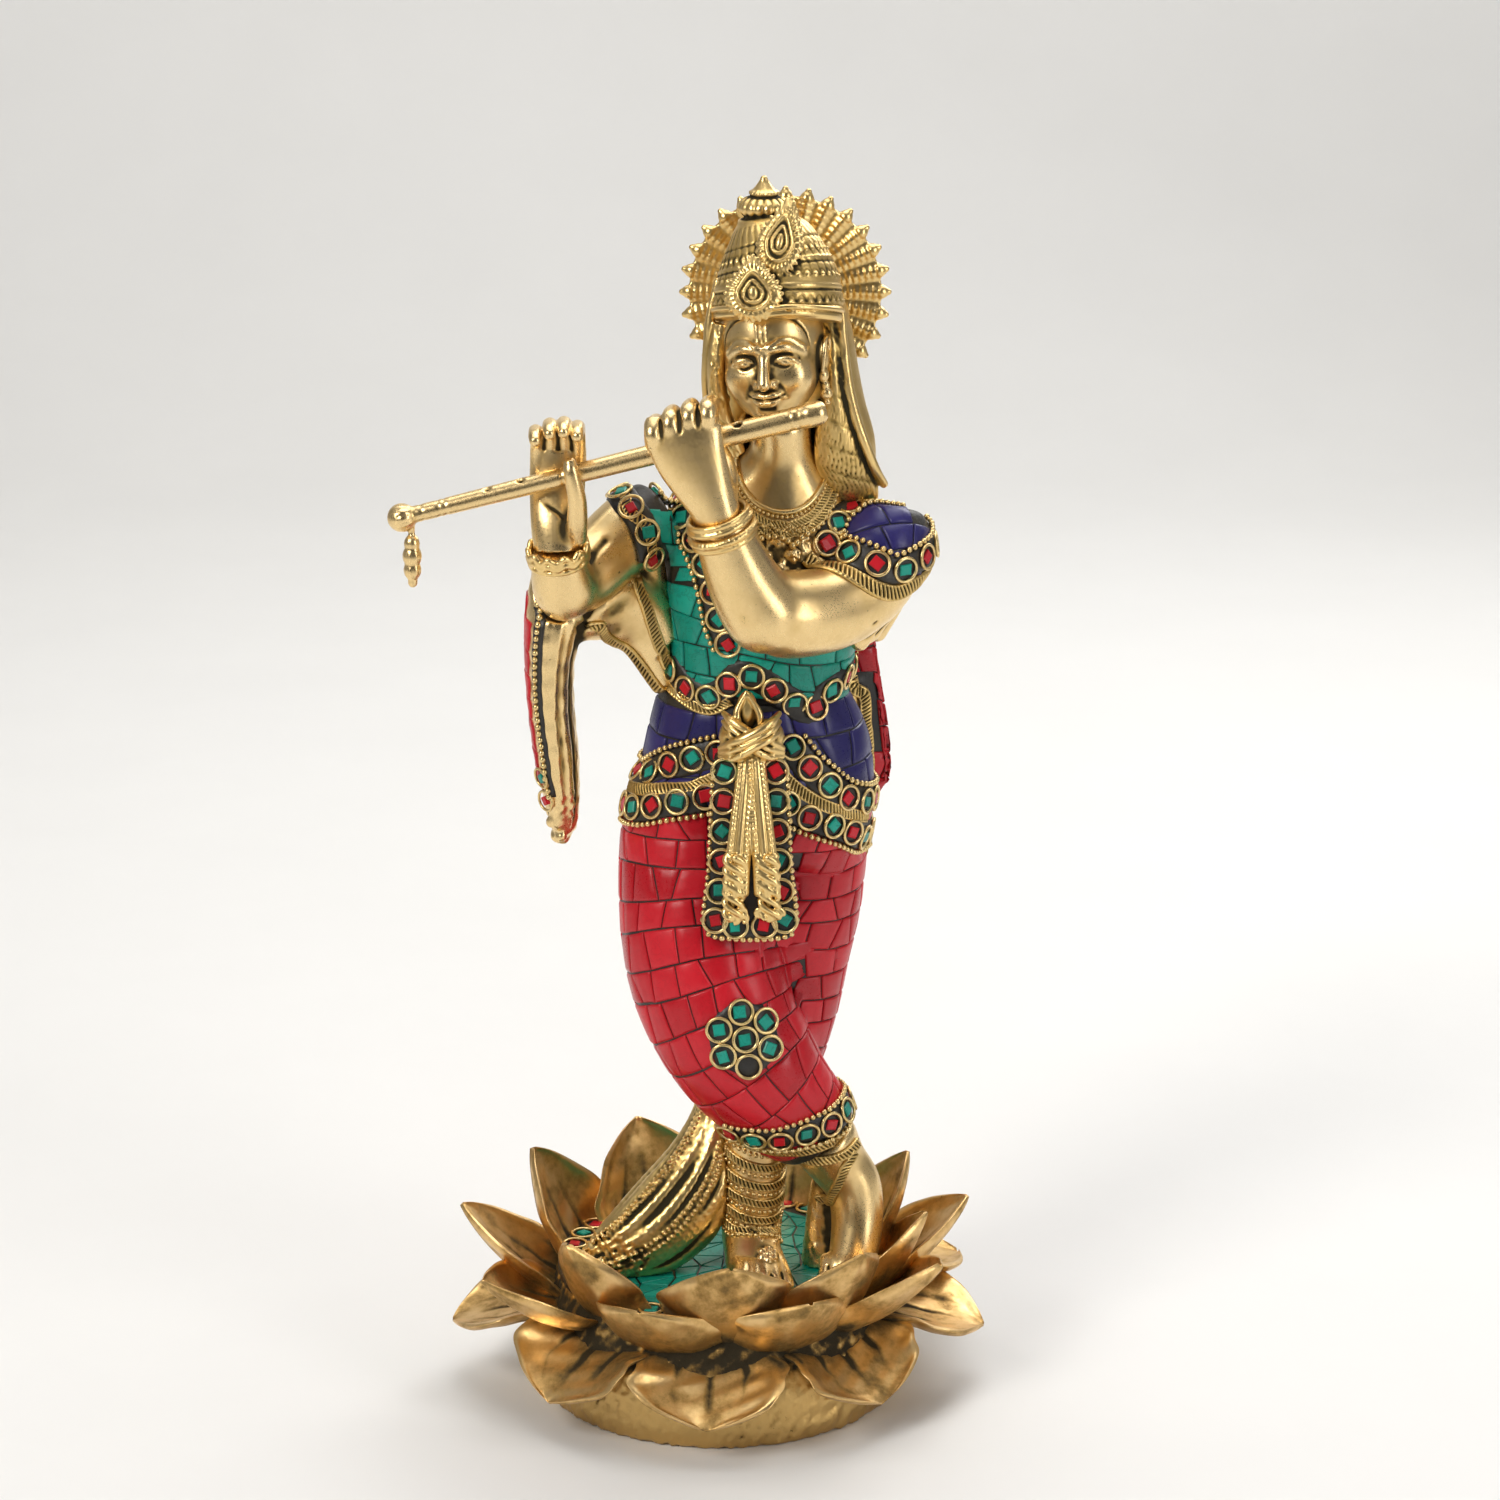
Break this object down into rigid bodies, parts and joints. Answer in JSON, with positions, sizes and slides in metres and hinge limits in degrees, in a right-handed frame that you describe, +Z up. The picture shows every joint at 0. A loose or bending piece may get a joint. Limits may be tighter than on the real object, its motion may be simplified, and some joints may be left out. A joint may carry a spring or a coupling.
{
  "type": "hindu deity statue",
  "caption": "Brass statue of a standing flute player with crossed legs on a lotus base, inlaid with turquoise, coral and lapis stone chips and wire-ringed gems.",
  "frame": {"origin": "centre of the round pedestal's flat underside, on the surface that the statue stands on", "axes": "+Z up through the crown's finial, front of the figure along -Y, the figure's left along +X"},
  "size_m": [0.1603, 0.1277, 0.343],
  "materials": {
    "cast_brass": "polished high spots over brown and olive patina in the recesses",
    "petal_brass": "brushed, darker bronze tone with gritty dark roots",
    "rough_brass": "rough as-cast brass with dark patina patches",
    "ring_wire_brass": "polished brass wire and beads",
    "turquoise_stone": "polished chips with dark joints",
    "coral_stone": "polished chips with dark joints",
    "lapis_stone": "polished chips with dark joints",
    "black_resin": "glossy black filler"
  },
  "bodies": {
    "root": {"pedestal": "rough_brass", "lotus_floor": "black_resin", "floor_mosaic": "turquoise_stone", "floor_gem_rings": "ring_wire_brass", "floor_gem_chips": "coral_stone", "lower_petal_1": "petal_brass", "lower_petal_2": "petal_brass", "lower_petal_3": "petal_brass", "lower_petal_4": "petal_brass", "lower_petal_5": "petal_brass", "lower_petal_6": "petal_brass", "lower_petal_7": "petal_brass", "lower_petal_8": "petal_brass", "middle_petal_1": "petal_brass", "middle_petal_2": "petal_brass", "middle_petal_3": "petal_brass", "middle_petal_4": "petal_brass", "middle_petal_5": "petal_brass", "middle_petal_6": "petal_brass", "middle_petal_7": "petal_brass", "middle_petal_8": "petal_brass", "upper_petal_1": "petal_brass", "upper_petal_2": "petal_brass", "upper_petal_3": "petal_brass", "upper_petal_4": "petal_brass", "upper_petal_5": "petal_brass", "upper_petal_6": "petal_brass", "upper_petal_7": "petal_brass", "upper_petal_8": "petal_brass", "standing_foot_and_shin": "cast_brass", "standing_anklets": "cast_brass", "crossed_foot": "cast_brass", "sash_train": "cast_brass", "lower_body": "cast_brass", "dhoti_inlay": "coral_stone", "knee_and_hem_gem_rings": "ring_wire_brass", "hip_inlay": "lapis_stone", "waist_gem_rings": "ring_wire_brass", "waist_knot": "cast_brass", "apron": "cast_brass", "apron_gem_rings": "ring_wire_brass", "torso": "cast_brass", "chest_sash": "turquoise_stone", "necklace": "cast_brass", "left_arm": "cast_brass", "bracelets": "cast_brass", "left_hand": "cast_brass", "left_shoulder_cap": "lapis_stone", "left_shoulder_gem_rings": "ring_wire_brass", "right_arm": "cast_brass", "right_shoulder_cap": "turquoise_stone", "right_hand": "cast_brass", "flute": "cast_brass", "arm_shawl": "cast_brass", "cape": "cast_brass", "cape_inlay": "coral_stone", "head": "cast_brass", "hair_and_veil": "cast_brass", "crown": "cast_brass", "halo": "cast_brass"}
  },
  "joints": []
}
